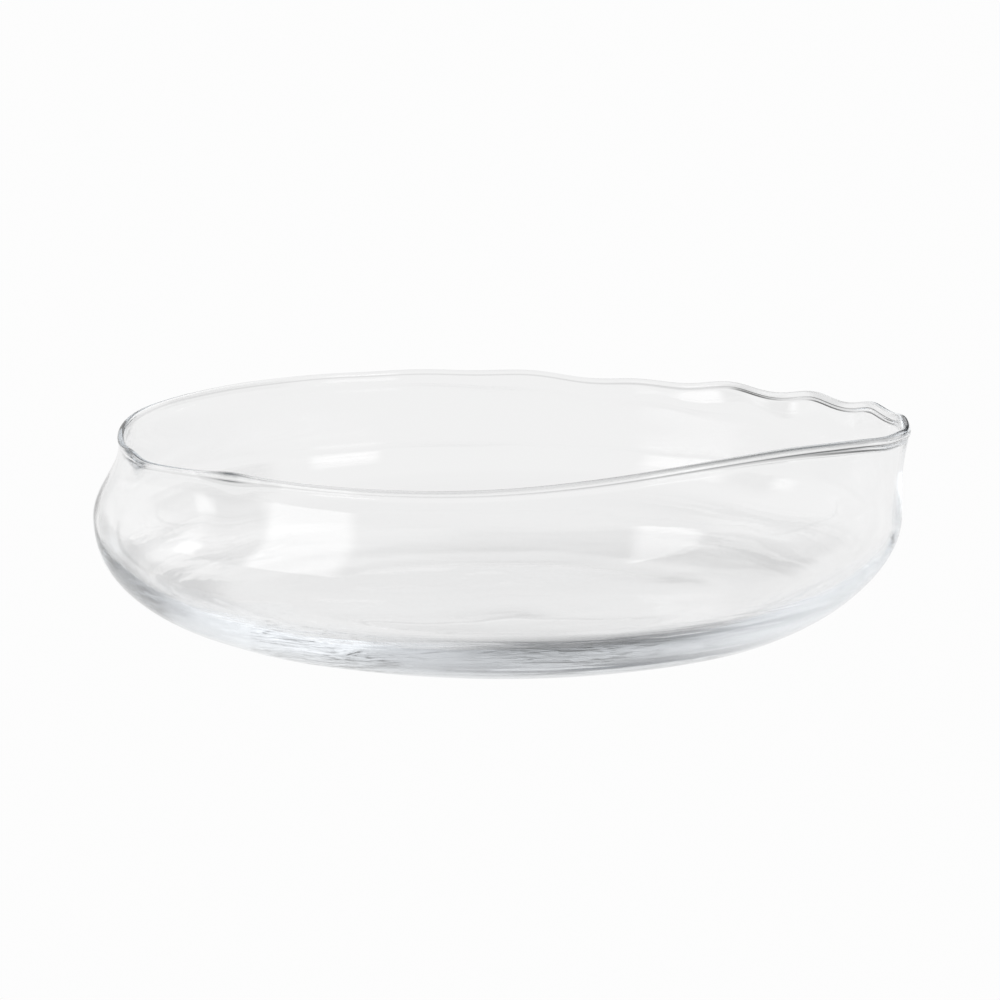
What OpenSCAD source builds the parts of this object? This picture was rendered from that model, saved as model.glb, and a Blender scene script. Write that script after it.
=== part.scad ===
/*
  Low, wide bowl of clear hand-blown glass.

  The bowl is one piece of glass. Its base is thick and slightly domed
  underneath, so it stands on a ring. The side swells out to a round belly,
  turns back in at the neck and ends in a fire-polished rim that was left
  free to sag and ripple, so no two sides of it have the same height. The
  glass is thicker at the right, and the rim is folded over in two small places.

  The origin is under the middle of the bowl, on the plane it stands on.
  +Z is up and -Y is the front. Directions round the bowl are in degrees,
  counted from +X (the right) towards +Y (the back).
*/

/* [Side] */
// Radius of the bowl at its widest, the belly
belly_r = 125; // [115:0.5:135]
// Height of the belly above the table
belly_z = 36; // [30:0.5:42]
// How far the curve runs out flat before it turns up from the foot
foot_pull = 33.5; // [25:0.5:40]
// How far the curve runs straight down from the belly
belly_drop = 19; // [12:0.5:24]
// How far the curve runs straight up from the belly
belly_rise = 8.5; // [3:0.5:12]
// How far the neck curve runs down from the rim
neck_pull = 11.5; // [5:0.5:16]
// How far the neck curve leans in below the rim
neck_in = 1.7; // [0:0.1:4]

/* [Foot] */
// Radius of the foot, where the underside leaves the table
foot_r = 67; // [55:0.5:78]
// Width of the flat ring that the bowl stands on
foot_ring_w = 11; // [6:0.5:20]
// Height of the dome under the base
kick_h = 0.8; // [0.4:0.1:2.5]

/* [Rim] */
// Radius of the rim to the outside of the wall
rim_r = 122; // [114:0.5:132]
// Height of the rim where it neither rises nor sags
rim_z = 61; // [55:0.5:75]

/* [Glass] */
// Thickness of the base
base_t = 6; // [4:0.1:9]
// Thickness of the thin side of the wall, from the belly up
thin_wall_t = 1.9; // [1.5:0.1:2.5]
// Thickness of the thick side of the wall
thick_wall_t = 2.8; // [2.5:0.1:3.4]
// Diameter of the rounded bead along the thin side of the rim
thin_bead_d = 2.2; // [2:0.1:3]
// Diameter of the bead along the thick side
thick_bead_d = 3.7; // [3.4:0.1:5]
// Direction of the thick side
thick_at = -10; // [-40:1:20]
// Spread of the thick side
thick_spread = 45; // [20:1:60]

/* [Lean] */
// How far the rim stands over to the right of the belly
rim_shift = 5; // [-8:0.1:8]
// How far the foot stands to the right of the belly
foot_shift = 2.1; // [-5:0.1:5]
// How far the curve between foot and belly hangs over to the left
side_slant = 1.7; // [-4:0.1:4]
// How much higher the right of the belly is than its middle
belly_tilt = -0.5; // [-3:0.1:3]

/* [Rim heights] */
// Direction of the crest at the front right
crest_at = -51; // [-70:1:-30]
// Spread of the crest
crest_spread = 26; // [10:1:40]
// Height of the crest
crest_lift = 9.6; // [0:0.1:12]
// Direction of the long sag at the back
sag_at = 61; // [40:1:90]
// Spread of the sag
sag_spread = 34; // [10:1:45]
// Height of the sag, negative because it goes down
sag_lift = -2.8; // [-6:0.1:0]
// Direction of the lip that turns up at the right
lip_at = 10; // [-10:1:30]
// Spread of the lip
lip_spread = 14; // [8:1:30]
// Height of the lip
lip_lift = 1.6; // [0:0.1:4]
// Direction of the dip at the left
dip_at = -160; // [-180:1:-140]
// Spread of the dip
dip_spread = 13; // [8:1:30]
// Height of the dip, negative because it goes down
dip_lift = -2.5; // [-5:0.1:0]
// Direction of the shoulder at the front left
shoulder_at = -129; // [-140:1:-110]
// Spread of the shoulder
shoulder_spread = 19; // [8:1:30]
// Height of the shoulder
shoulder_lift = 1.3; // [0:0.1:4]
// Direction of the small notch at the back
notch_at = 73; // [60:1:100]
// Spread of the notch
notch_spread = 6; // [5:0.5:12]
// Height of the notch, negative because it goes down
notch_lift = -1.6; // [-3:0.1:0]

/* [Rim ripples] */
// Direction of the middle of the rippled stretch, at the back right
ripple_at = 43; // [30:1:60]
// Spread of the rippled stretch
ripple_spread = 30; // [10:1:40]
// Height of the ripples
ripple_lift = 1; // [0:0.1:2]
// Ripples that a whole turn would hold
ripples_per_turn = 21; // [12:1:24]
// How far the first crest lies past the middle of the stretch
ripple_lag = -6.5; // [-8:0.5:8]
// How far the ripples flare the rim in and out
ripple_flare = 0.5; // [0:0.1:1.5]

/* [Rim folds] */
// Direction of the fold at the left
left_fold_at = -163; // [-175:1:-150]
// Direction of the fold at the front left
front_fold_at = -133; // [-145:1:-120]
// Spread of each fold
fold_spread = 3.5; // [2.5:0.5:6]
// Size of the folds, as a share of the thick bead
fold_size = 0.9; // [0:0.1:1]

/* [Smoothness] */
// Corners round the bowl
turn_steps = 120; // [72:2:132]
// Steps along the curve from foot to belly
lower_steps = 9; // [5:1:12]
// Steps along the curve from belly to rim
upper_steps = 7; // [4:1:10]
// Steps round the bead
bead_steps = 6; // [4:1:8]

/* [Hidden] */

floor_steps = 4;           // rings across the flat of the base, inside and out
bead_swell = 20;           // degrees of the bead below the height of its middle
fold_fade = 12;            // how fast a fold fades below the rim
glass_tint = [0.86, 0.92, 0.93, 0.4];

foot = [foot_r, 0];
belly = [belly_r, belly_z];
rim = [rim_r, rim_z];
// A station is [r, z, h]: h is the height of the outside of the bowl at that
// place, which sets how much it leans and how much it follows the rim.
lower_curve = [foot, foot + [foot_pull, 0], belly - [0, belly_drop], belly];
upper_curve = [belly, belly + [0, belly_rise], rim - [neck_in, neck_pull], rim];

// ---- plain curves ------------------------------------------------------

function unit(v) = v / norm(v);
function blend(u) = let (c = min(max(u, 0), 1)) c * c * (3 - 2 * c);
function hump(u) = 27 / 4 * u * u * (1 - u);
function swell(a, at, spread) = exp((cos(a - at) - 1) / pow(spread * PI / 180, 2));

function bezier(p, t) = let (s = 1 - t)
    s * s * s * p[0] + 3 * s * s * t * p[1] + 3 * s * t * t * p[2] + t * t * t * p[3];
function bezier_dir(p, t) = let (s = 1 - t)
    unit(s * s * (p[1] - p[0]) + 2 * s * t * (p[2] - p[1]) + t * t * (p[3] - p[2]));
function inward(d) = [-d.y, d.x];

// ---- the section, from under the middle, over the rim, to the floor ----

function station(p, h) = [p.x, p.y, h];
// A place on the outside and the place behind it on the inside
function outer_at(curve, t) = let (p = bezier(curve, t)) station(p, p.y);
function inner_at(curve, t, thick) =
    let (p = bezier(curve, t)) station(p + thick * inward(bezier_dir(curve, t)), p.y);

ring_in_r = foot_r - foot_ring_w;
function kick_z(r) = kick_h * (1 + cos(180 * min(r / ring_in_r, 1))) / 2;
underside = [for (i = [1:floor_steps]) let (r = ring_in_r * i / floor_steps)
    station([r, kick_z(r)], 0)];
lower_out = [for (i = [0:lower_steps - 1]) outer_at(lower_curve, i / lower_steps)];
upper_out = [for (i = [0:upper_steps - 1]) outer_at(upper_curve, i / upper_steps)];

rim_dir = bezier_dir(upper_curve, 1);
bead_turn = 180 + 2 * bead_swell;
function bead(wall, d) = let (middle = rim + wall / 2 * inward(rim_dir))
    [for (i = [0:bead_steps]) let (a = bead_turn * i / bead_steps - bead_swell)
        station(middle + d / 2 * (cos(a) * -inward(rim_dir) + sin(a) * rim_dir), rim_z)];

function upper_in(wall) = [for (i = [upper_steps - 1:-1:0])
    inner_at(upper_curve, i / upper_steps, wall)];
function lower_in(wall) = [for (i = [lower_steps - 1:-1:0]) let (t = i / lower_steps)
    inner_at(lower_curve, t, wall + (base_t - wall) * blend(1 - t))];
floor_in = [for (i = [floor_steps:-1:1]) let (r = ring_in_r * i / floor_steps)
    station([r, kick_z(r) + base_t], 0)];

function section(wall, bead_d) = concat(
    underside, lower_out, upper_out, bead(wall, bead_d), upper_in(wall), lower_in(wall), floor_in);
thin_section = section(thin_wall_t, thin_bead_d);
thick_section = section(thick_wall_t, thick_bead_d);

// ---- how the glass moved while it was soft -----------------------------

function ripple_phase(a) = ripples_per_turn * (a - ripple_at - ripple_lag);
function flare(a) = ripple_flare * sin(ripple_phase(a)) * swell(a, ripple_at, ripple_spread);
function rim_lift(a) =
    crest_lift * swell(a, crest_at, crest_spread)
    + sag_lift * swell(a, sag_at, sag_spread)
    + lip_lift * swell(a, lip_at, lip_spread)
    + dip_lift * swell(a, dip_at, dip_spread)
    + shoulder_lift * swell(a, shoulder_at, shoulder_spread)
    + notch_lift * swell(a, notch_at, notch_spread)
    + ripple_lift * cos(ripple_phase(a)) * swell(a, ripple_at, ripple_spread);

function lean_at(h) = let (low = max(1 - h / belly_z, 0))
    rim_shift * blend((h - belly_z) / (rim_z - belly_z))
    + foot_shift * pow(low, 4)
    - side_slant * hump(low);

function lift_at(a, h) =
    belly_tilt * cos(a) * blend(h / belly_z) + rim_lift(a) * pow(h / rim_z, 2);

function fold(a) = fold_size
    * (swell(a, left_fold_at, fold_spread) + swell(a, front_fold_at, fold_spread));
// How thick the glass is: 0 is the thin section, 1 the thick one
function thickening(a, h) = swell(a, thick_at, thick_spread) + fold(a) * pow(h / rim_z, fold_fade);

function placed(k, a) = let (
    thin = thin_section[k],
    h = thin.z,
    s = thin + thickening(a, h) * (thick_section[k] - thin),
    r = s.x + flare(a) * pow(h / rim_z, 4))
    [r * cos(a) + lean_at(h), r * sin(a), s.y + lift_at(a, h)];

// ---- the closed skin ---------------------------------------------------

function turn_angle(j) = 360 * j / turn_steps;
last_ring = len(thin_section) - 1;
skin = [for (k = [0:last_ring]) for (j = [0:turn_steps - 1]) placed(k, turn_angle(j))];
low_x = min([for (p = skin) p.x]);
high_x = max([for (p = skin) p.x]);
low_y = min([for (p = skin) p.y]);
high_y = max([for (p = skin) p.y]);
middle = [(low_x + high_x) / 2, (low_y + high_y) / 2, 0];

poles = [[foot_shift, 0, kick_h], [foot_shift, 0, kick_h + base_t]];
under_pole = len(skin);
floor_pole = under_pole + 1;
function corner(ring, j) = ring * turn_steps + j % turn_steps;

side_faces = [for (k = [0:last_ring - 1]) for (j = [0:turn_steps - 1])
    let (a = corner(k, j), b = corner(k + 1, j), c = corner(k + 1, j + 1), d = corner(k, j + 1))
    each [[a, b, c], [a, c, d]]];
under_faces = [for (j = [0:turn_steps - 1]) [under_pole, corner(0, j), corner(0, j + 1)]];
floor_faces = [for (j = [0:turn_steps - 1])
    [floor_pole, corner(last_ring, j + 1), corner(last_ring, j)]];

module bowl() {
    color(glass_tint)
        translate(-middle)
            polyhedron(points = concat(skin, poles),
                       faces = concat(side_faces, under_faces, floor_faces));
}

bowl();
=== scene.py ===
"""A low, wide bowl of clear hand-blown glass, on a plain white table in soft studio light.

Metres, +Z up, -Y to the front. Directions round the bowl are counted from +X towards +Y.
"""

import logging
import math
from dataclasses import dataclass, field, fields

import bmesh
import bpy
from mathutils import Matrix, Vector


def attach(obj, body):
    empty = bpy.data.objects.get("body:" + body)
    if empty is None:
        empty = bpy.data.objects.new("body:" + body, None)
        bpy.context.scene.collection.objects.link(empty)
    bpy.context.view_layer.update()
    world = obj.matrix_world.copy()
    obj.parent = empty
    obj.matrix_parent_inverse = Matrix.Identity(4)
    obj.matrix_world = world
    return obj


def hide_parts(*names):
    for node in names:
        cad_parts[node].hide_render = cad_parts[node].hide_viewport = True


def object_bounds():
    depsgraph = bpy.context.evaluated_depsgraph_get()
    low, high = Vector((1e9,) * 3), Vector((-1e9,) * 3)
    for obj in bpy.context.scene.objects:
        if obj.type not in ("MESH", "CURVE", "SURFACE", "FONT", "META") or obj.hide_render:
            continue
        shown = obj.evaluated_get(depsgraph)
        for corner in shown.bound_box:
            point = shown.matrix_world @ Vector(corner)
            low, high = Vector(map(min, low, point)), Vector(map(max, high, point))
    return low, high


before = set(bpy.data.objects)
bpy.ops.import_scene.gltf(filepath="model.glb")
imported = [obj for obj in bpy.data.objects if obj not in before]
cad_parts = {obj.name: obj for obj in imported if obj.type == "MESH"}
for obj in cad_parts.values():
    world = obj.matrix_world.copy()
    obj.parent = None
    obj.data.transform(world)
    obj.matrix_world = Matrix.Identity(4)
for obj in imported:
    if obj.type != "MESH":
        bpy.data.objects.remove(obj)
CAD_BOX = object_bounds()

MM = 0.001
WHITE = (1.0, 1.0, 1.0, 1.0)

# what the turned skin knows at each of its points
TURNED = "turned_place"
OUTSIDE_HEIGHT = "outside_height"
ROUND_BEAD = "round_bead"
# how strongly the bead gets its painted dark lines, a painted reflection
PAINTED_BEAD_SHARE = "sheared"

# kinds of node that are used most
MATH = "ShaderNodeMath"
VECTOR_MATH = "ShaderNodeVectorMath"
MAP_RANGE = "ShaderNodeMapRange"
MIX = "ShaderNodeMix"
SPLIT = "ShaderNodeSeparateXYZ"
JOIN = "ShaderNodeCombineXYZ"
PATH = "ShaderNodeLightPath"
COORDINATES = "ShaderNodeTexCoord"
NOISE = "ShaderNodeTexNoise"

# a Mix node's colour sockets, which share their names with its number sockets
MIX_SHARE, MIX_FROM, MIX_TO, MIX_RESULT = 0, 6, 7, 2

# t*t - t*t*t is a hump over t from 0 to 1, and this brings its top to one
HUMP_SCALE = 27 / 4

# light runs a long way round inside the thick base before it comes out
LIGHT_BOUNCES = 96

log = logging.getLogger("glass_bowl")

SocketValue = bpy.types.NodeSocket | bpy.types.Material | float | int | tuple


# ---- small helpers -----------------------------------------------------------------


def linear(hex_colour: str) -> tuple[float, float, float, float]:
    """Turns an sRGB hex colour into the linear values that a shader wants.

    Args:
        hex_colour: Six hex digits, with or without a leading hash.

    Returns:
        Red, green, blue and an alpha of one.
    """
    digits = hex_colour.lstrip("#")
    channels = [int(digits[i : i + 2], 16) / 255 for i in (0, 2, 4)]
    curved = [c / 12.92 if c <= 0.04045 else ((c + 0.055) / 1.055) ** 2.4 for c in channels]
    return (curved[0], curved[1], curved[2], 1.0)


def add(
    tree: bpy.types.NodeTree,
    kind: str,
    links: dict[int | str, SocketValue] | None = None,
    out: int | str = 0,
    **settings: object,
) -> bpy.types.NodeSocket | None:
    """Adds one node, gives it its settings, and sets or links its inputs.

    Args:
        tree: The node tree that gets the node.
        kind: Blender's name for the type of node.
        links: What goes into each input, by number or name: a socket or a plain value.
        out: Which output to hand back, by number or name.
        **settings: The node's own properties.

    Returns:
        The asked output, or None for a node without outputs.
    """
    node = tree.nodes.new(kind)
    for name, value in settings.items():
        setattr(node, name, value)
    for key, value in (links or {}).items():
        if isinstance(value, bpy.types.NodeSocket):
            tree.links.new(value, node.inputs[key])
        else:
            node.inputs[key].default_value = value
    return node.outputs[out] if node.outputs else None


def on_circle(direction: float, radius: float, height: float) -> Vector:
    """Gives the point at a direction in degrees, a radius and a height."""
    turn = math.radians(direction)
    return Vector((radius * math.cos(turn), radius * math.sin(turn), height))


# ---- the finish --------------------------------------------------------------------


@dataclass(frozen=True)
class ClearBlownGlass:
    """Soda-lime glass, blown by hand and fire-polished.

    It is clear and nearly colourless, with a cool grey cast where it is thick. The
    flame leaves the surface perfectly glossy but not flat: it keeps long shallow
    waves, and fine streaks that run round the bowl the way it was turned. The streaks
    are strongest low down, where the gather was worked longest.

    Dark smoky streaks, painted low in the side in two layers like cords, are a painted
    reflection of the dark surroundings that the thick base refracts; they bunch together
    in some directions, and each bunch is how often it comes round in a turn, and a
    direction in degrees. Dark grey lines painted on the bead are a painted reflection of
    the dim room that the bead refracts; each line is its middle and its half width, as a
    share of the way round the bead.
    """

    ior: float = 1.52
    roughness: float = 0.0
    absorbed: str = "#D3DCE4"
    absorption: float = 2.4
    wave_length: float = 30 * MM
    wave_depth: float = 0.10 * MM
    wave_detail: float = 1.0
    wave_roughness: float = 0.4
    streak_width: float = 1.9 * MM
    streak_length: float = 50 * MM
    streak_depth: float = 0.06 * MM
    streak_detail: float = 2.0
    streaks_full_below: float = 18 * MM
    streaks_faint_above: float = 30 * MM
    faint: float = 0.12
    # painted reflection: this dark colour stands in for the dark surroundings that the thick base
    # refracts
    cord: str = "#28323C"
    cord_from: float = 0.40
    cord_to: float = 0.48
    painted_dark_full_below: float = 17 * MM
    painted_dark_gone_above: float = 25 * MM
    cord_layer: float = 20 * MM
    cord_layer_gap: float = 11.5 * MM
    painted_dark_from_r: float = 82 * MM
    painted_dark_full_r: float = 96 * MM
    # the painted dark streaks bunch towards the front and the front right
    cord_bunches: tuple[tuple[int, float], ...] = ((1, -90), (3, -68))
    # painted reflection: dark grey lines on the bead stand in for the dim room that the bead
    # refracts
    painted_bead_line: str = "#232B31"
    painted_bead_lines: tuple[tuple[float, float], ...] = ((0.64, 0.21), (0.97, 0.07))

    def material(self) -> bpy.types.Material:
        """Builds the glass.

        Returns:
            The finished material, with its absorption in the volume.
        """
        made = bpy.data.materials.new("clear_blown_glass")
        made.use_nodes = True
        tree = made.node_tree
        tree.nodes.clear()
        place = add(tree, COORDINATES, out="Object")
        surface, streaks = self.surface(tree, place)
        # the glass colour carries painted dark streaks and painted dark bead lines, painted
        # reflections of dark surroundings
        glass = add(
            tree,
            "ShaderNodeBsdfPrincipled",
            {
                "Base Color": self.paint_bead_lines(tree, self.cords(tree, place, streaks)),
                "Roughness": self.roughness,
                "IOR": self.ior,
                "Transmission Weight": 1.0,
                "Normal": surface,
            },
        )
        depth = add(
            tree,
            "ShaderNodeVolumeAbsorption",
            {"Color": linear(self.absorbed), "Density": self.absorption},
        )
        add(tree, "ShaderNodeOutputMaterial", {"Surface": glass, "Volume": depth})
        return made

    def surface(
        self, tree: bpy.types.NodeTree, place: bpy.types.NodeSocket
    ) -> tuple[bpy.types.NodeSocket, bpy.types.NodeSocket]:
        """Makes the surface uneven: long waves, and low streaks on top of them.

        Args:
            tree: The material's tree.
            place: The place on the bowl.

        Returns:
            The uneven surface's normal, and the pattern of the streaks.
        """
        level = add(tree, SPLIT, {0: place}, out="Z")
        turned = add(tree, "ShaderNodeAttribute", out="Vector", attribute_name=TURNED)
        waves = add(
            tree,
            NOISE,
            {
                "Vector": turned,
                "Scale": 1 / self.wave_length,
                "Detail": self.wave_detail,
                "Roughness": self.wave_roughness,
            },
        )
        long_way = 1 / self.streak_length
        stretched = add(
            tree,
            "ShaderNodeMapping",
            {"Vector": place, "Scale": (long_way, long_way, 1 / self.streak_width)},
        )
        streaks = add(
            tree, NOISE, {"Vector": stretched, "Scale": 1.0, "Detail": self.streak_detail}
        )
        share = add(
            tree,
            MAP_RANGE,
            {
                "Value": level,
                "From Min": self.streaks_full_below,
                "From Max": self.streaks_faint_above,
                "To Min": 1.0,
                "To Max": self.faint,
            },
            interpolation_type="SMOOTHSTEP",
        )
        wavy = add(
            tree,
            "ShaderNodeBump",
            {"Strength": 1.0, "Distance": self.wave_depth, "Height": waves},
        )
        streaky = {
            "Strength": share,
            "Distance": self.streak_depth,
            "Height": streaks,
            "Normal": wavy,
        }
        return add(tree, "ShaderNodeBump", streaky), streaks

    def cords(
        self,
        tree: bpy.types.NodeTree,
        place: bpy.types.NodeSocket,
        streaks: bpy.types.NodeSocket,
    ) -> bpy.types.NodeSocket:
        """Paints dark streaks low in the side, shaped like cords: a painted reflection of dark
        surroundings.

        Args:
            tree: The material's tree.
            place: The place on the bowl.
            streaks: The pattern of the streaks.

        Returns:
            The colour of what passes through the surface.
        """
        x, y, z = (add(tree, SPLIT, {0: place}, out=axis) for axis in "XYZ")
        flat = add(tree, JOIN, {0: x, 1: y})
        radius = add(tree, VECTOR_MATH, {0: flat}, "Value", operation="LENGTH")
        share, low, out = (
            add(
                tree,
                MAP_RANGE,
                {"Value": value, "From Min": start, "From Max": end},
                interpolation_type="SMOOTHSTEP",
            )
            for value, start, end in (
                (streaks, self.cord_from, self.cord_to),
                (z, self.painted_dark_gone_above, self.painted_dark_full_below),
                (radius, self.painted_dark_from_r, self.painted_dark_full_r),
            )
        )
        # each of these comes and goes as a cosine: the layers with the height, and the
        # bunches with the direction
        direction = add(tree, MATH, {0: y, 1: x}, operation="ARCTAN2")
        swings = [(z, self.cord_layer, math.tau / self.cord_layer_gap)]
        swings += [(direction, math.radians(at), float(n)) for n, at in self.cord_bunches]
        for part in [low, out] + [self.swing(tree, *given) for given in swings]:
            share = add(tree, MATH, {0: share, 1: part}, operation="MULTIPLY")
        # paints the dark streaks into the glass colour: painted reflection of dark surroundings
        return add(
            tree,
            MIX,
            {MIX_SHARE: share, MIX_FROM: WHITE, MIX_TO: linear(self.cord)},
            out=MIX_RESULT,
            data_type="RGBA",
        )

    @staticmethod
    def swing(
        tree: bpy.types.NodeTree, value: bpy.types.NodeSocket, full_at: float, pace: float
    ) -> bpy.types.NodeSocket:
        """Makes a share that swings between none and all as a value grows.

        Args:
            tree: The material's tree.
            value: The value.
            full_at: Where the share is one.
            pace: How many radians it swings per unit of the value.

        Returns:
            The share, from 0 to 1.
        """
        away = add(tree, MATH, {0: value, 1: full_at}, operation="SUBTRACT")
        turn = add(tree, MATH, {0: away, 1: pace}, operation="MULTIPLY")
        wave = add(tree, MATH, {0: turn}, operation="COSINE")
        return add(tree, MATH, {0: wave, 1: 0.5, 2: 0.5}, operation="MULTIPLY_ADD")

    def paint_bead_lines(
        self, tree: bpy.types.NodeTree, below: bpy.types.NodeSocket
    ) -> bpy.types.NodeSocket:
        """Paints dark grey lines along the bead: a painted reflection of the dim room it
        refracts.

        Args:
            tree: The material's tree.
            below: The colour without them.

        Returns:
            The colour with them.
        """
        around = add(tree, "ShaderNodeAttribute", out="Fac", attribute_name=ROUND_BEAD)
        amount = add(tree, "ShaderNodeAttribute", out="Fac", attribute_name=PAINTED_BEAD_SHARE)
        colour = below
        for middle, half_width in self.painted_bead_lines:
            away = add(tree, MATH, {0: around, 1: middle}, operation="SUBTRACT")
            distance = add(tree, MATH, {0: away}, operation="ABSOLUTE")
            line = add(
                tree,
                MAP_RANGE,
                {"Value": distance, "From Min": half_width, "From Max": 0.0},
                interpolation_type="SMOOTHSTEP",
            )
            share = add(tree, MATH, {0: line, 1: amount}, operation="MULTIPLY")
            # paints a dark grey line on the bead: painted reflection
            colour = add(
                tree,
                MIX,
                {MIX_SHARE: share, MIX_FROM: colour, MIX_TO: linear(self.painted_bead_line)},
                out=MIX_RESULT,
                data_type="RGBA",
            )
        return colour


# ---- the bowl ----------------------------------------------------------------------


@dataclass(frozen=True)
class Swell:
    """Something that happens in one direction and fades away to both sides.

    The direction and the spread are in degrees; the size is in metres for a rise or a
    sag, and a plain share for a thickening.
    """

    at: float
    spread: float
    size: float


@dataclass(frozen=True)
class RimWaves:
    """The rises and sags of the rim."""

    crest: Swell = Swell(-51, 26, 9.6 * MM)
    sag: Swell = Swell(61, 34, -2.8 * MM)
    lip: Swell = Swell(10, 14, 1.6 * MM)
    dip: Swell = Swell(-160, 13, -2.5 * MM)
    shoulder: Swell = Swell(-129, 19, 1.3 * MM)
    notch: Swell = Swell(73, 6, -1.6 * MM)


@dataclass(frozen=True)
class RimRipples:
    """The short ripples that ride on the rim at the back right.

    They lift the rim and flare it out and in; the lag is in degrees.
    """

    ripples: Swell = Swell(43, 30, 1.0 * MM)
    flare: float = 0.5 * MM
    flare_fade: float = 4.0
    per_turn: int = 21
    lag: float = -6.5


@dataclass(frozen=True)
class ThickSide:
    """Where the wall and the bead are thick, as a share of the whole difference."""

    thick_side: Swell = Swell(-10, 45, 1.0)


@dataclass(frozen=True)
class RimFolds:
    """Two small folds where the soft rim doubled over and fused.

    The fade is the power of the height with which they die out below the rim.
    """

    left_fold: Swell = Swell(-163, 3.5, 0.9)
    front_fold: Swell = Swell(-133, 3.5, 0.9)
    fade: float = 12


@dataclass(frozen=True)
class PaintedBeadLines:
    """Where the lip gets its painted dark grey lines, a painted reflection, as a share of a full
    mark.
    """

    right_front_mark: Swell = Swell(-42, 28, 1.0)
    back_right_mark: Swell = Swell(45, 20, 0.35)
    left_end_mark: Swell = Swell(180, 12, 0.35)
    left_fold_mark: Swell = Swell(-163, 2.5, 1.0)
    front_fold_mark: Swell = Swell(-133, 2.5, 1.0)


@dataclass(frozen=True)
class SurfaceWaves:
    """What the gather and the tools left in the glass: long waves and low streaks.

    They only go inwards, so the bowl keeps its outer size.
    """

    wave_length: float = 34 * MM
    wave_depth: float = 0.36 * MM
    wave_detail: float = 0.0
    streak_length: float = 70 * MM
    streak_width: float = 2.6 * MM
    streak_depth: float = 0.3 * MM
    streak_detail: float = 1.0
    streaks_from: float = 6 * MM
    streaks_to: float = 20 * MM
    rest: float = 0.75
    seed: float = 3.0


RimPart = RimWaves | RimRipples | ThickSide | RimFolds | PaintedBeadLines


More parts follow.
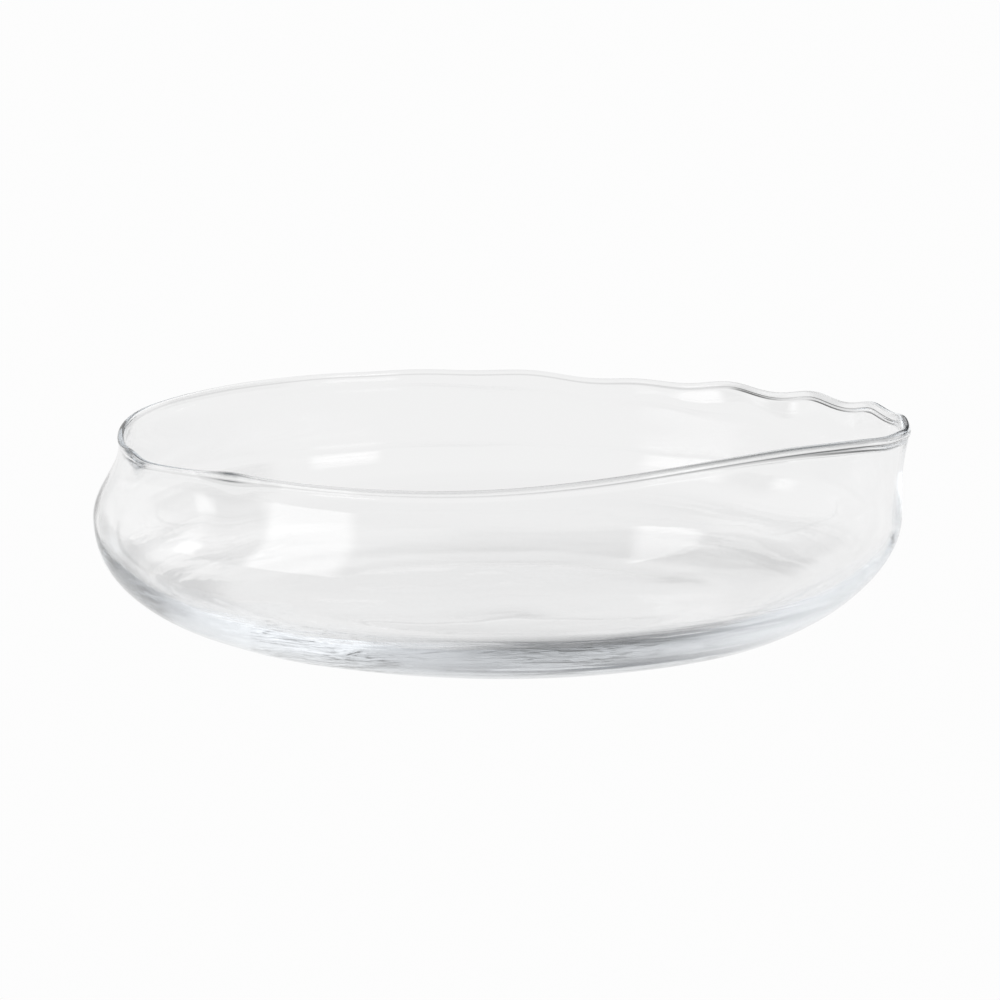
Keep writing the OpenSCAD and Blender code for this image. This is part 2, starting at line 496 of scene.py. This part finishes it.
@dataclass
class Bowl:
    """The one piece of glass: foot, base, belly, neck and rim bead.

    The outside is two curves, foot to belly and belly to rim; pull, drop and rise are
    how far their handles reach. Tilt, shift and slant let the soft glass lean.
    """

    belly_r: float = 125 * MM
    belly_z: float = 36 * MM
    foot_pull: float = 33.5 * MM
    belly_drop: float = 19 * MM
    belly_rise: float = 8.5 * MM
    neck_pull: float = 11.5 * MM
    neck_in: float = 1.7 * MM
    foot_r: float = 67 * MM
    foot_ring_w: float = 11 * MM
    kick_h: float = 0.8 * MM
    rim_r: float = 122 * MM
    rim_z: float = 61 * MM
    wall_t: float = 1.9 * MM
    thick_wall_t: float = 2.8 * MM
    bead_d: float = 2.2 * MM
    thick_bead_d: float = 3.7 * MM
    base_t: float = 6 * MM
    rim_shift: float = 5 * MM
    foot_shift: float = 2.1 * MM
    foot_fade: float = 4.0
    side_slant: float = 1.7 * MM
    belly_tilt: float = -0.5 * MM
    waves: RimWaves = field(default_factory=RimWaves)
    ripples: RimRipples = field(default_factory=RimRipples)
    thick: ThickSide = field(default_factory=ThickSide)
    folds: RimFolds = field(default_factory=RimFolds)
    # where the bead gets painted dark lines, a painted reflection, strongest at the front right
    shears: PaintedBeadLines = field(default_factory=PaintedBeadLines)
    surface: SurfaceWaves = field(default_factory=SurfaceWaves)
    finish: ClearBlownGlass = field(default_factory=ClearBlownGlass)
    corners: int = 320
    floor_steps: int = 20
    lower_steps: int = 84
    upper_steps: int = 26
    bead_steps: int = 16
    bead_swell: float = 20
    weld: float = 0.001 * MM

    # -- the section, from the middle of the floor, over the rim, to under the middle --

    @staticmethod
    def bezier(points: list[Vector], t: float) -> tuple[Vector, Vector]:
        """Gives a place on a cubic curve and its direction there.

        Args:
            points: The curve's four points, as (r, z).
            t: How far along, from 0 to 1.

        Returns:
            The point and the unit direction.
        """
        s = 1 - t
        p = points
        place = s**3 * p[0] + 3 * s * s * t * p[1] + 3 * s * t * t * p[2] + t**3 * p[3]
        way = s * s * (p[1] - p[0]) + 2 * s * t * (p[2] - p[1]) + t * t * (p[3] - p[2])
        return place, way.normalized()

    def kick(self, r: float) -> float:
        """Gives the height of the dome under the base at radius r."""
        inner = self.foot_r - self.foot_ring_w
        return self.kick_h * (1 + math.cos(math.pi * min(r / inner, 1))) / 2

    def curves(self) -> tuple[list[Vector], list[Vector]]:
        """Gives the outside from foot to belly and from belly to rim, as (r, z)."""
        foot, belly = Vector((self.foot_r, 0)), Vector((self.belly_r, self.belly_z))
        rim = Vector((self.rim_r, self.rim_z))
        out, up = Vector((self.foot_pull, 0)), Vector((0, self.belly_rise))
        drop, neck = Vector((0, self.belly_drop)), Vector((self.neck_in, self.neck_pull))
        return [foot, foot + out, belly - drop, belly], [belly, belly + up, rim - neck, rim]

    def section(self, wall: float, bead_d: float) -> list[tuple[float, float, float]]:
        """Works out the section as (r, z, h), where h is the height of the outside there.

        Args:
            wall: Thickness of the wall from the belly up.
            bead_d: Diameter of the bead along the rim.

        Returns:
            The points from the middle of the floor, over the rim, to under the middle.
        """
        lower, upper = self.curves()
        flat = [self.foot_r * i / self.floor_steps for i in range(self.floor_steps)]
        inside = [(r, self.kick(r) + self.base_t, 0.0) for r in flat]
        outside = [(r, self.kick(r), 0.0) for r in flat]
        for curve, steps, extra in (
            (lower, self.lower_steps, self.base_t - wall),
            (upper, self.upper_steps, 0.0),
        ):
            for i in range(steps):
                place, way = self.bezier(curve, i / steps)
                u = 1 - i / steps
                thick = wall + extra * u * u * (3 - 2 * u)
                behind = place + thick * Vector((-way.y, way.x))
                inside.append((behind.x, behind.y, place.y))
                outside.append((place.x, place.y, place.y))

        rim, way = self.bezier(upper, 1)
        across = Vector((way.y, -way.x))
        middle = rim - wall / 2 * across
        turn = math.radians(180 + 2 * self.bead_swell)
        bead = []
        for i in range(self.bead_steps + 1):
            a = math.radians(180 + self.bead_swell) - turn * i / self.bead_steps
            point = middle + bead_d / 2 * (math.sin(a) * way + math.cos(a) * across)
            bead.append((point.x, point.y, self.rim_z))
        return inside + bead + outside[::-1]

    def section_mesh(self) -> bpy.types.Mesh:
        """Puts the section into a mesh of loose points.

        Each point knows its outside height, how far along the section it lies, its
        share of the way round the bead, and how far it moves where the wall is thick.

        Returns:
            The mesh that the lathe reads.
        """
        thin = self.section(self.wall_t, self.bead_d)
        thick = self.section(self.thick_wall_t, self.thick_bead_d)
        made = bpy.data.meshes.new("section")
        made.from_pydata([(r, 0, z) for r, z, _ in thin], [], [])
        for name, kind in (
            (OUTSIDE_HEIGHT, "FLOAT"),
            ("along", "FLOAT"),
            (ROUND_BEAD, "FLOAT"),
            ("growth", "FLOAT_VECTOR"),
        ):
            made.attributes.new(name, kind, "POINT")
        height, along, bead, growth = (
            made.attributes[name].data
            for name in (OUTSIDE_HEIGHT, "along", ROUND_BEAD, "growth")
        )
        bead_start = self.floor_steps + self.lower_steps + self.upper_steps
        run, before = 0.0, thin[0]
        for i, (here, grown) in enumerate(zip(thin, thick)):
            run += math.dist(here[:2], before[:2])
            before = here
            height[i].value = here[2]
            along[i].value = run
            growth[i].vector = (grown[0] - here[0], 0, grown[1] - here[1])
            bead[i].value = (i - bead_start) / self.bead_steps
        return made

    # -- the lathe: Geometry Nodes turn the section and let the soft glass move --------

    @staticmethod
    def swells(*parts: RimPart) -> dict[str, Swell]:
        """Gives the swells of some parts by plain names.

        Args:
            *parts: The parts of the rim.

        Returns:
            Plain name to swell, in the order of the fields.
        """
        return {
            f.name.replace("_", " ").capitalize(): getattr(part, f.name)
            for part in parts
            for f in fields(part)
            if isinstance(getattr(part, f.name), Swell)
        }

    def tree_inputs(self) -> dict[str, float]:
        """Lists the lathe's named inputs and their values.

        Returns:
            Name to value, angles in radians.
        """
        skin = self.surface
        made = {
            "Belly height": self.belly_z,
            "Rim height": self.rim_z,
            "Rim shift": self.rim_shift,
            "Foot shift": self.foot_shift,
            "Side slant": self.side_slant,
            "Belly tilt": self.belly_tilt,
            "Ripples per turn": float(self.ripples.per_turn),
            "Ripple lag": math.radians(self.ripples.lag),
            "Ripple flare": self.ripples.flare,
            "Ripple flare fade": self.ripples.flare_fade,
            "Foot fade": self.foot_fade,
            "Fold fade": self.folds.fade,
            "Wave length": skin.wave_length,
            "Wave depth": skin.wave_depth,
            "Streak length": skin.streak_length,
            "Streak width": skin.streak_width,
            "Streak depth": skin.streak_depth,
            "Streaks from": skin.streaks_from,
            "Streaks to": skin.streaks_to,
            "Wave rest": skin.rest,
            "Wave seed": skin.seed,
        }
        parts = (self.waves, self.ripples, self.thick, self.folds, self.shears)
        for name, swell in self.swells(*parts).items():
            made[f"{name} direction"] = math.radians(swell.at)
            made[f"{name} spread"] = math.radians(swell.spread)
            made[f"{name} size"] = swell.size
        return made

    @staticmethod
    def swell_group() -> bpy.types.NodeTree:
        """Builds the group that gives one swell's size at an angle.

        Returns:
            The group, with inputs Angle, Direction, Spread and Size.
        """
        group = bpy.data.node_groups.new("swell", "GeometryNodeTree")
        for name in ("Angle", "Direction", "Spread", "Size"):
            group.interface.new_socket(name, in_out="INPUT", socket_type="NodeSocketFloat")
        group.interface.new_socket("Value", in_out="OUTPUT", socket_type="NodeSocketFloat")
        given = group.nodes.new("NodeGroupInput").outputs
        away = add(group, MATH, {0: given["Angle"], 1: given["Direction"]}, operation="SUBTRACT")
        cosine = add(group, MATH, {0: away}, operation="COSINE")
        short = add(group, MATH, {0: cosine, 1: 1.0}, operation="SUBTRACT")
        wide = add(group, MATH, {0: given["Spread"], 1: given["Spread"]}, operation="MULTIPLY")
        share = add(group, MATH, {0: short, 1: wide}, operation="DIVIDE")
        fade = add(group, MATH, {0: share}, operation="EXPONENT")
        value = add(group, MATH, {0: fade, 1: given["Size"]}, operation="MULTIPLY")
        add(group, "NodeGroupOutput", {"Value": value})
        return group

    def swell_sum(
        self,
        tree: bpy.types.NodeTree,
        group: bpy.types.NodeTree,
        given: dict[str, bpy.types.NodeSocket],
        angle: bpy.types.NodeSocket,
        part: RimPart,
    ) -> bpy.types.NodeSocket:
        """Adds up the swells of one part.

        Args:
            tree: The lathe tree.
            group: The group that gives one swell's size.
            given: The tree's named inputs.
            angle: The direction round the bowl.
            part: The part whose swells are added.

        Returns:
            The sum at that angle.
        """
        total = None
        for name in self.swells(part):
            links = {
                "Angle": angle,
                "Direction": given[f"{name} direction"],
                "Spread": given[f"{name} spread"],
                "Size": given[f"{name} size"],
            }
            one = add(tree, "GeometryNodeGroup", links, node_tree=group)
            total = one if total is None else add(tree, MATH, {0: total, 1: one}, operation="ADD")
        return total

    @staticmethod
    def lean(
        tree: bpy.types.NodeTree,
        given: dict[str, bpy.types.NodeSocket],
        height: bpy.types.NodeSocket,
    ) -> bpy.types.NodeSocket:
        """Works out how far the glass leans to the right at an outside height.

        Args:
            tree: The lathe tree.
            given: The tree's named inputs.
            height: The outside height.

        Returns:
            The lean to the right.
        """
        rise = add(
            tree,
            MAP_RANGE,
            {"Value": height, "From Min": given["Belly height"], "From Max": given["Rim height"]},
            interpolation_type="SMOOTHSTEP",
        )
        rim_lean = add(tree, MATH, {0: rise, 1: given["Rim shift"]}, operation="MULTIPLY")
        low = add(
            tree,
            MAP_RANGE,
            {"Value": height, "From Min": given["Belly height"], "From Max": 0.0},
        )
        near_foot = add(tree, MATH, {0: low, 1: given["Foot fade"]}, operation="POWER")
        foot_lean = add(
            tree, MATH, {0: near_foot, 1: given["Foot shift"]}, operation="MULTIPLY"
        )
        # the slant is a hump between foot and belly
        low_2 = add(tree, MATH, {0: low, 1: low}, operation="MULTIPLY")
        low_3 = add(tree, MATH, {0: low_2, 1: low}, operation="MULTIPLY")
        hump = add(tree, MATH, {0: low_2, 1: low_3}, operation="SUBTRACT")
        peak = add(tree, MATH, {0: hump, 1: HUMP_SCALE}, operation="MULTIPLY")
        slant = add(tree, MATH, {0: peak, 1: given["Side slant"]}, operation="MULTIPLY")
        both = add(tree, MATH, {0: rim_lean, 1: foot_lean}, operation="ADD")
        return add(tree, MATH, {0: both, 1: slant}, operation="SUBTRACT")

    def lathe(self) -> tuple[bpy.types.NodeTree, dict[str, str]]:
        """Builds the lathe tree.

        Returns:
            The tree, and the identifier of each of its named inputs.
        """
        tree = bpy.data.node_groups.new("lathe_with_waves", "GeometryNodeTree")
        sockets = {
            "Section": "NodeSocketGeometry",
            "Corners": "NodeSocketInt",
            "Glass": "NodeSocketMaterial",
            **dict.fromkeys(self.tree_inputs(), "NodeSocketFloat"),
        }
        ids = {
            name: tree.interface.new_socket(name, in_out="INPUT", socket_type=kind).identifier
            for name, kind in sockets.items()
        }
        tree.interface.new_socket("Bowl", in_out="OUTPUT", socket_type="NodeSocketGeometry")
        given = tree.nodes.new("NodeGroupInput").outputs

        # a grid of points: a column for each point of the section, a row for each corner
        count = add(tree, "GeometryNodeAttributeDomainSize", {"Geometry": given["Section"]})
        rows = add(tree, MATH, {0: given["Corners"], 1: 1.0}, operation="ADD")
        grid = add(tree, "GeometryNodeMeshGrid", {"Vertices X": count, "Vertices Y": rows})
        index = add(tree, "GeometryNodeInputIndex")
        column = add(tree, MATH, {0: index, 1: rows}, operation="DIVIDE")
        ring = add(tree, MATH, {0: column}, operation="FLOOR")
        row = add(tree, MATH, {0: index, 1: rows}, operation="MODULO")
        turn = add(tree, MATH, {0: row, 1: given["Corners"]}, operation="DIVIDE")
        angle = add(tree, MATH, {0: turn, 1: math.tau}, operation="MULTIPLY")

        # what the section knows at this ring
        known = {}
        for name, kind in (
            ("position", "FLOAT_VECTOR"),
            ("growth", "FLOAT_VECTOR"),
            (OUTSIDE_HEIGHT, "FLOAT"),
            ("along", "FLOAT"),
            (ROUND_BEAD, "FLOAT"),
        ):
            named = add(tree, "GeometryNodeInputNamedAttribute", {"Name": name}, data_type=kind)
            known[name] = add(
                tree,
                "GeometryNodeSampleIndex",
                {"Geometry": given["Section"], "Value": named, "Index": ring},
                data_type=kind,
            )

        swell = self.swell_group()
        place = self.placed(tree, swell, given, known, angle)
        turned = add(tree, "GeometryNodeSetPosition", {"Geometry": grid, "Position": place})

        # a place on the unrolled skin, for the waves, and what the finish needs to know
        x, y = (add(tree, SPLIT, {0: place}, out=axis) for axis in "XY")
        for name, value, kind in (
            (TURNED, add(tree, JOIN, {0: x, 1: y, 2: known["along"]}), "FLOAT_VECTOR"),
            (OUTSIDE_HEIGHT, known[OUTSIDE_HEIGHT], "FLOAT"),
            (ROUND_BEAD, known[ROUND_BEAD], "FLOAT"),
            (PAINTED_BEAD_SHARE, self.swell_sum(tree, swell, given, angle, self.shears), "FLOAT"),
        ):
            turned = add(
                tree,
                "GeometryNodeStoreNamedAttribute",
                {"Geometry": turned, "Name": name, "Value": value},
                data_type=kind,
                domain="POINT",
            )
        closed = add(
            tree, "GeometryNodeMergeByDistance", {"Geometry": turned, "Distance": self.weld}
        )
        waving = self.surface_waves(tree, given, closed)
        smooth = add(tree, "GeometryNodeSetShadeSmooth", {"Geometry": waving})
        real = add(tree, "GeometryNodeRealizeInstances", {"Geometry": smooth})
        dressed = add(
            tree, "GeometryNodeSetMaterial", {"Geometry": real, "Material": given["Glass"]}
        )
        add(tree, "NodeGroupOutput", {"Bowl": dressed})
        return tree, ids

    def placed(
        self,
        tree: bpy.types.NodeTree,
        swell: bpy.types.NodeTree,
        given: dict[str, bpy.types.NodeSocket],
        known: dict[str, bpy.types.NodeSocket],
        angle: bpy.types.NodeSocket,
    ) -> bpy.types.NodeSocket:
        """Works out where a point of the section stands after turning and moving.

        Args:
            tree: The lathe tree.
            swell: The group that gives one swell's size.
            given: The tree's named inputs.
            known: What the section knows at this ring.
            angle: The direction round the bowl.

        Returns:
            The place.
        """
        height = known[OUTSIDE_HEIGHT]
        share = add(tree, MATH, {0: height, 1: given["Rim height"]}, operation="DIVIDE")
        cosine = add(tree, MATH, {0: angle}, operation="COSINE")
        sine = add(tree, MATH, {0: angle}, operation="SINE")

        # where the glass is thick
        one_side = self.swell_sum(tree, swell, given, angle, self.thick)
        folds = self.swell_sum(tree, swell, given, angle, self.folds)
        near_rim = add(tree, MATH, {0: share, 1: given["Fold fade"]}, operation="POWER")
        folded = add(tree, MATH, {0: folds, 1: near_rim}, operation="MULTIPLY")
        thick = add(tree, MATH, {0: one_side, 1: folded}, operation="ADD")
        grown = add(
            tree,
            VECTOR_MATH,
            {0: known["growth"], 1: thick, 2: known["position"]},
            operation="MULTIPLY_ADD",
        )
        radius = add(tree, SPLIT, {0: grown}, out="X")
        level = add(tree, SPLIT, {0: grown}, out="Z")

        # the ripples lift the rim and flare it
        fade = self.swell_sum(tree, swell, given, angle, self.ripples)
        away = add(tree, MATH, {0: angle, 1: given["Ripples direction"]}, operation="SUBTRACT")
        lagged = add(tree, MATH, {0: away, 1: given["Ripple lag"]}, operation="SUBTRACT")
        phase = add(tree, MATH, {0: lagged, 1: given["Ripples per turn"]}, operation="MULTIPLY")
        crest = add(tree, MATH, {0: phase}, operation="COSINE")
        crests = add(tree, MATH, {0: fade, 1: crest}, operation="MULTIPLY")
        steep = add(
            tree, MATH, {0: given["Ripple flare"], 1: given["Ripples size"]}, operation="DIVIDE"
        )
        flaring = add(tree, MATH, {0: fade, 1: steep}, operation="MULTIPLY")
        side = add(tree, MATH, {0: phase}, operation="SINE")
        flare = add(tree, MATH, {0: flaring, 1: side}, operation="MULTIPLY")
        high = add(tree, MATH, {0: share, 1: given["Ripple flare fade"]}, operation="POWER")
        flared = add(tree, MATH, {0: flare, 1: high, 2: radius}, operation="MULTIPLY_ADD")

        # the long rises and sags of the rim, and the tilt of the belly
        long_waves = self.swell_sum(tree, swell, given, angle, self.waves)
        total = add(tree, MATH, {0: long_waves, 1: crests}, operation="ADD")
        share_2 = add(tree, MATH, {0: share, 1: share}, operation="MULTIPLY")
        waved = add(tree, MATH, {0: total, 1: share_2}, operation="MULTIPLY")
        up = add(
            tree,
            MAP_RANGE,
            {"Value": height, "From Min": 0.0, "From Max": given["Belly height"]},
            interpolation_type="SMOOTHSTEP",
        )
        tip = add(tree, MATH, {0: cosine, 1: given["Belly tilt"]}, operation="MULTIPLY")
        lifted = add(tree, MATH, {0: tip, 1: up, 2: waved}, operation="MULTIPLY_ADD")

        lean = self.lean(tree, given, height)
        x = add(tree, MATH, {0: flared, 1: cosine, 2: lean}, operation="MULTIPLY_ADD")
        y = add(tree, MATH, {0: flared, 1: sine}, operation="MULTIPLY")
        z = add(tree, MATH, {0: level, 1: lifted}, operation="ADD")
        return add(tree, JOIN, {0: x, 1: y, 2: z})

    def surface_waves(
        self,
        tree: bpy.types.NodeTree,
        given: dict[str, bpy.types.NodeSocket],
        closed: bpy.types.NodeSocket,
    ) -> bpy.types.NodeSocket:
        """Moves the surface a little, for the long waves and the low streaks.

        Args:
            tree: The lathe tree.
            given: The tree's named inputs.
            closed: The closed skin of the bowl.

        Returns:
            The skin with waves.
        """
        spot, height = (
            add(tree, "GeometryNodeInputNamedAttribute", {"Name": name}, data_type=kind)
            for name, kind in ((TURNED, "FLOAT_VECTOR"), (OUTSIDE_HEIGHT, "FLOAT"))
        )
        wave_scale = add(tree, MATH, {0: 1.0, 1: given["Wave length"]}, operation="DIVIDE")
        waves = add(
            tree,
            NOISE,
            {
                "Vector": spot,
                "W": given["Wave seed"],
                "Scale": wave_scale,
                "Detail": self.surface.wave_detail,
            },
            noise_dimensions="4D",
        )
        position = add(tree, "GeometryNodeInputPosition")
        long_way = given["Streak length"]
        size = add(tree, JOIN, {0: long_way, 1: long_way, 2: given["Streak width"]})
        stretched = add(tree, VECTOR_MATH, {0: position, 1: size}, operation="DIVIDE")
        streaks = add(
            tree,
            NOISE,
            {
                "Vector": stretched,
                "W": given["Wave seed"],
                "Scale": 1.0,
                "Detail": self.surface.streak_detail,
            },
            noise_dimensions="4D",
        )
        low = add(
            tree,
            MAP_RANGE,
            {"Value": height, "From Min": given["Streaks to"], "From Max": given["Streaks from"]},
            interpolation_type="SMOOTHSTEP",
        )
        streak_size = add(tree, MATH, {0: low, 1: given["Streak depth"]}, operation="MULTIPLY")
        moved = []
        for noise, amount in ((waves, given["Wave depth"]), (streaks, streak_size)):
            inward = add(tree, MATH, {0: noise, 1: given["Wave rest"]}, operation="SUBTRACT")
            moved.append(add(tree, MATH, {0: inward, 1: amount}, operation="MULTIPLY"))
        depth = add(tree, MATH, {0: moved[0], 1: moved[1]}, operation="ADD")
        normal = add(tree, "GeometryNodeInputNormal")
        offset = add(tree, VECTOR_MATH, {0: normal, "Scale": depth}, operation="SCALE")
        return add(tree, "GeometryNodeSetPosition", {"Geometry": closed, "Offset": offset})

    def build(self) -> bpy.types.Object:
        """Turns the section on the lathe and centres the bowl in its CAD box.

        Returns:
            The finished bowl, as a plain mesh at the origin.
        """
        blank = bpy.data.objects.new("blank", self.section_mesh())
        bpy.context.scene.collection.objects.link(blank)
        tree, ids = self.lathe()
        modifier = blank.modifiers.new("lathe", "NODES")
        modifier.node_group = tree
        modifier[ids["Corners"]] = self.corners
        modifier[ids["Glass"]] = self.finish.material()
        for name, value in self.tree_inputs().items():
            modifier[ids[name]] = value

        ready = bpy.context.evaluated_depsgraph_get()
        mesh = bpy.data.meshes.new_from_object(blank.evaluated_get(ready))
        mesh.name = "blown_bowl"
        bpy.data.objects.remove(blank)
        xs = [v.co.x for v in mesh.vertices]
        ys = [v.co.y for v in mesh.vertices]
        middle = (CAD_BOX[0] + CAD_BOX[1]) / 2
        right = middle.x - (min(xs) + max(xs)) / 2
        back = middle.y - (min(ys) + max(ys)) / 2
        mesh.transform(Matrix.Translation((right, back, 0)))

        made = bpy.data.objects.new("blown_bowl", mesh)
        bpy.context.scene.collection.objects.link(made)
        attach(made, "root")
        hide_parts("bowl")
        return made


# ---- the studio --------------------------------------------------------------------


@dataclass(frozen=True)
class Panel:
    """A soft-edged light or dark panel that stands round the table.

    The direction and half width are in degrees, low and high are degrees above the
    table, and soft is how many degrees its edges take to fade.
    """

    direction: float
    half_width: float
    low: float
    high: float
    level: float
    soft: float = 4.0


@dataclass(frozen=True)
class Studio:
    """A white table in an evenly lit white room with a softer ceiling.

    The ground and the walls look plain white to the camera. The glass sees the room
    as it is lit, and sees the windows only in reflections.
    """

    table_r: float = 20.0
    table_corners: int = 96
    table_drop: float = 0.2 * MM
    white: float = 0.98
    lit: float = 0.88
    ceiling: float = 0.60
    white_up_to: float = 0.70
    dim_from: float = 0.85
    table_lit: float = 0.885
    panels: tuple[Panel, ...] = (
        Panel(12, 28, -5, 28, 0.55, 6),
        Panel(10, 27, -5, 17, 0.14, 5),
        Panel(57, 19, -5, 50, 0.95, 5),
        Panel(57, 17, 18, 50, 1.50, 6),
        Panel(94, 16, -5, 22, 0.75, 5),
        Panel(73, 12, -5, 6, 0.03, 2),
        Panel(101, 13, 20, 52, 0.12, 5),
        Panel(145, 24, -5, 50, 1.00, 6),
        Panel(187, 14, -5, 28, 0.38, 5),
    )
    windows: tuple[Panel, ...] = (
        Panel(-150, 14, -5, 27, 2.1, 3),
        Panel(-43, 10, -5, 16, 2.4, 3),
        Panel(171, 3, 3, 17, 1.8, 2.5),
    )

    def table(self) -> bpy.types.Object:
        """Builds the glowing white table top.

        Returns:
            The table, which casts an even white light of its own.
        """
        mesh = bpy.data.meshes.new("table")
        shape = bmesh.new()
        bmesh.ops.create_circle(
            shape, cap_ends=True, segments=self.table_corners, radius=self.table_r
        )
        bmesh.ops.translate(shape, verts=shape.verts, vec=(0, 0, -self.table_drop))
        shape.to_mesh(mesh)
        shape.free()
        # matt white laminate, lit so evenly that it is drawn as a plain glow
        glow = bpy.data.materials.new("white_table")
        glow.use_nodes = True
        tree = glow.node_tree
        tree.nodes.clear()
        seen = add(tree, PATH, out="Is Camera Ray")
        level = add(
            tree, MAP_RANGE, {"Value": seen, "To Min": self.table_lit, "To Max": self.white}
        )
        light = add(tree, "ShaderNodeEmission", {"Color": WHITE, "Strength": level})
        add(tree, "ShaderNodeOutputMaterial", {"Surface": light})
        mesh.materials.append(glow)
        made = bpy.data.objects.new("table", mesh)
        bpy.context.scene.collection.objects.link(made)
        return made

    @staticmethod
    def panel_group() -> bpy.types.NodeTree:
        """Builds the group that lays one panel over the room.

        Returns:
            The group, with the room's level so far, the way looked and the panel's values.
        """
        group = bpy.data.node_groups.new("panel", "ShaderNodeTree")
        face = group.interface
        for name in ("Way", "Facing"):
            face.new_socket(name, in_out="INPUT", socket_type="NodeSocketVector")
        edges = ("Edge", "Full", "Bottom edge", "Bottom full", "Top full", "Top edge")
        for name in ("Level", "Panel", *edges):
            face.new_socket(name, in_out="INPUT", socket_type="NodeSocketFloat")
        face.new_socket("Level", in_out="OUTPUT", socket_type="NodeSocketFloat")
        given = group.nodes.new("NodeGroupInput").outputs
        flat = add(group, VECTOR_MATH, {0: given["Way"], 1: (1, 1, 0)}, operation="MULTIPLY")
        unit = add(group, VECTOR_MATH, {0: flat}, operation="NORMALIZE")
        near = add(
            group, VECTOR_MATH, {0: unit, 1: given["Facing"]}, "Value", operation="DOT_PRODUCT"
        )
        height = add(group, SPLIT, {0: given["Way"]}, out="Z")
        masks = [
            add(
                group,
                MAP_RANGE,
                {"Value": value, "From Min": given[start], "From Max": given[end]},
                interpolation_type="SMOOTHSTEP",
            )
            for value, start, end in (
                (near, "Edge", "Full"),
                (height, "Bottom edge", "Bottom full"),
                (height, "Top edge", "Top full"),
            )
        ]
        upright = add(group, MATH, {0: masks[0], 1: masks[1]}, operation="MULTIPLY")
        mask = add(group, MATH, {0: upright, 1: masks[2]}, operation="MULTIPLY")
        level = add(
            group,
            MAP_RANGE,
            {"Value": mask, "To Min": given["Level"], "To Max": given["Panel"]},
        )
        add(group, "NodeGroupOutput", {"Level": level})
        return group

    @staticmethod
    def laid(
        tree: bpy.types.NodeTree,
        group: bpy.types.NodeTree,
        level: bpy.types.NodeSocket,
        way: bpy.types.NodeSocket,
        panel: Panel,
    ) -> bpy.types.NodeSocket:
        """Lays one panel over the room.

        Args:
            tree: The world's tree.
            group: The group that lays a panel.
            level: The room's level so far.
            way: The way looked.
            panel: The panel.

        Returns:
            The level with the panel.
        """
        values = {
            "Level": level,
            "Way": way,
            "Facing": tuple(on_circle(panel.direction, 1.0, 0.0)),
            "Edge": math.cos(math.radians(panel.half_width + panel.soft)),
            "Full": math.cos(math.radians(max(panel.half_width - panel.soft, 0))),
            "Bottom edge": math.sin(math.radians(panel.low - panel.soft)),
            "Bottom full": math.sin(math.radians(panel.low + panel.soft)),
            "Top full": math.sin(math.radians(panel.high - panel.soft)),
            "Top edge": math.sin(math.radians(panel.high + panel.soft)),
            "Panel": panel.level,
        }
        return add(tree, "ShaderNodeGroup", values, node_tree=group)

    def room(self) -> bpy.types.World:
        """Builds the room: white walls, a softer ceiling and the panels.

        Returns:
            The world.
        """
        world = bpy.data.worlds.new("room")
        world.use_nodes = True
        tree = world.node_tree
        tree.nodes.clear()
        way = add(tree, COORDINATES, out="Generated")
        height = add(tree, SPLIT, {0: way}, out="Z")
        level = add(
            tree,
            MAP_RANGE,
            {
                "Value": height,
                "From Min": self.white_up_to,
                "From Max": self.dim_from,
                "To Min": self.lit,
                "To Max": self.ceiling,
            },
            interpolation_type="SMOOTHSTEP",
        )
        group = self.panel_group()
        for panel in self.panels:
            level = self.laid(tree, group, level, way, panel)
        lit = level
        for window in self.windows:
            lit = self.laid(tree, group, lit, way, window)
        mirrored = add(tree, PATH, out="Glossy Depth")
        cast = add(tree, MAP_RANGE, {"Value": mirrored, "To Min": level, "To Max": lit})
        seen = add(tree, PATH, out="Is Camera Ray")
        shown = add(
            tree,
            MAP_RANGE,
            {"Value": seen, "To Min": cast, "To Max": self.white},
        )
        light = add(tree, "ShaderNodeBackground", {"Color": WHITE, "Strength": shown})
        add(tree, "ShaderNodeOutputWorld", {"Surface": light})
        bpy.context.scene.world = world
        return world

    def build(self) -> None:
        """Builds the table and the room."""
        self.table()
        self.room()


@dataclass(frozen=True)
class View:
    """The camera, in front of the bowl and a little above it."""

    elevation: float = 11.13
    distance: float = 1.51
    lens: float = 175.3
    centre_z: float = 30 * MM
    aim: tuple[float, float, float] = (-0.4 * MM, 0, 39.3 * MM)

    def build(self) -> bpy.types.Object:
        """Builds the camera and makes it the scene's.

        Returns:
            The camera.
        """
        data = bpy.data.cameras.new("camera")
        data.lens = self.lens
        made = bpy.data.objects.new("camera", data)
        bpy.context.scene.collection.objects.link(made)
        rise = math.radians(self.elevation)
        made.location = (
            self.aim[0],
            -self.distance * math.cos(rise),
            self.centre_z + self.distance * math.sin(rise),
        )
        towards = Vector(self.aim) - made.location
        made.rotation_euler = towards.to_track_quat("-Z", "Y").to_euler()
        bpy.context.scene.camera = made
        return made


def main() -> None:
    """Builds the bowl, the studio and the camera."""
    logging.basicConfig(level=logging.INFO, format="%(name)s: %(message)s")
    bowl = Bowl().build()
    log.info("%s: %d faces", bowl.name, len(bowl.data.polygons))
    Studio().build()
    View().build()
    light_paths = bpy.context.scene.cycles
    light_paths.max_bounces = LIGHT_BOUNCES
    light_paths.glossy_bounces = LIGHT_BOUNCES
    light_paths.transmission_bounces = LIGHT_BOUNCES
    bpy.context.scene.view_settings.view_transform = "Standard"


if __name__ == "__main__":
    main()
